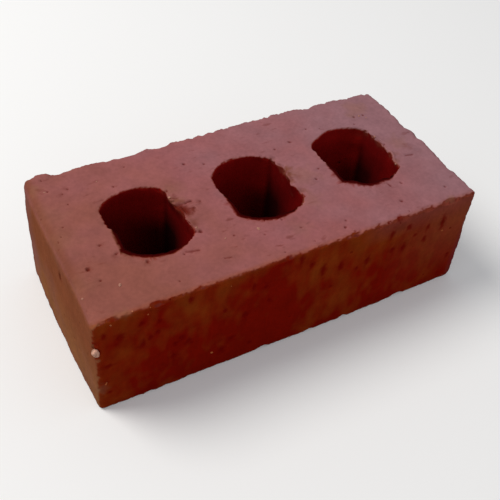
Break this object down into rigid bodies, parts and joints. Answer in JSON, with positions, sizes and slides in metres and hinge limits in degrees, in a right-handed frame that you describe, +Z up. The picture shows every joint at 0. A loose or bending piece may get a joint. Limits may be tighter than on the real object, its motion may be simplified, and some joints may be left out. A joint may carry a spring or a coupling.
{
  "type": "clay brick",
  "caption": "Cored clay facing brick of modular size, wire-cut, with a row of double-D cores through its beds.",
  "frame": {"origin": "middle of the lower bed face", "axes": "+X along the length to the right, +Y through the width to the back stretcher, +Z up through the cores"},
  "size_m": [0.194, 0.092, 0.057],
  "materials": {
    "fired_clay": "matte unglazed fired clay"
  },
  "bodies": {
    "root": {"brick": "fired_clay"}
  },
  "joints": []
}
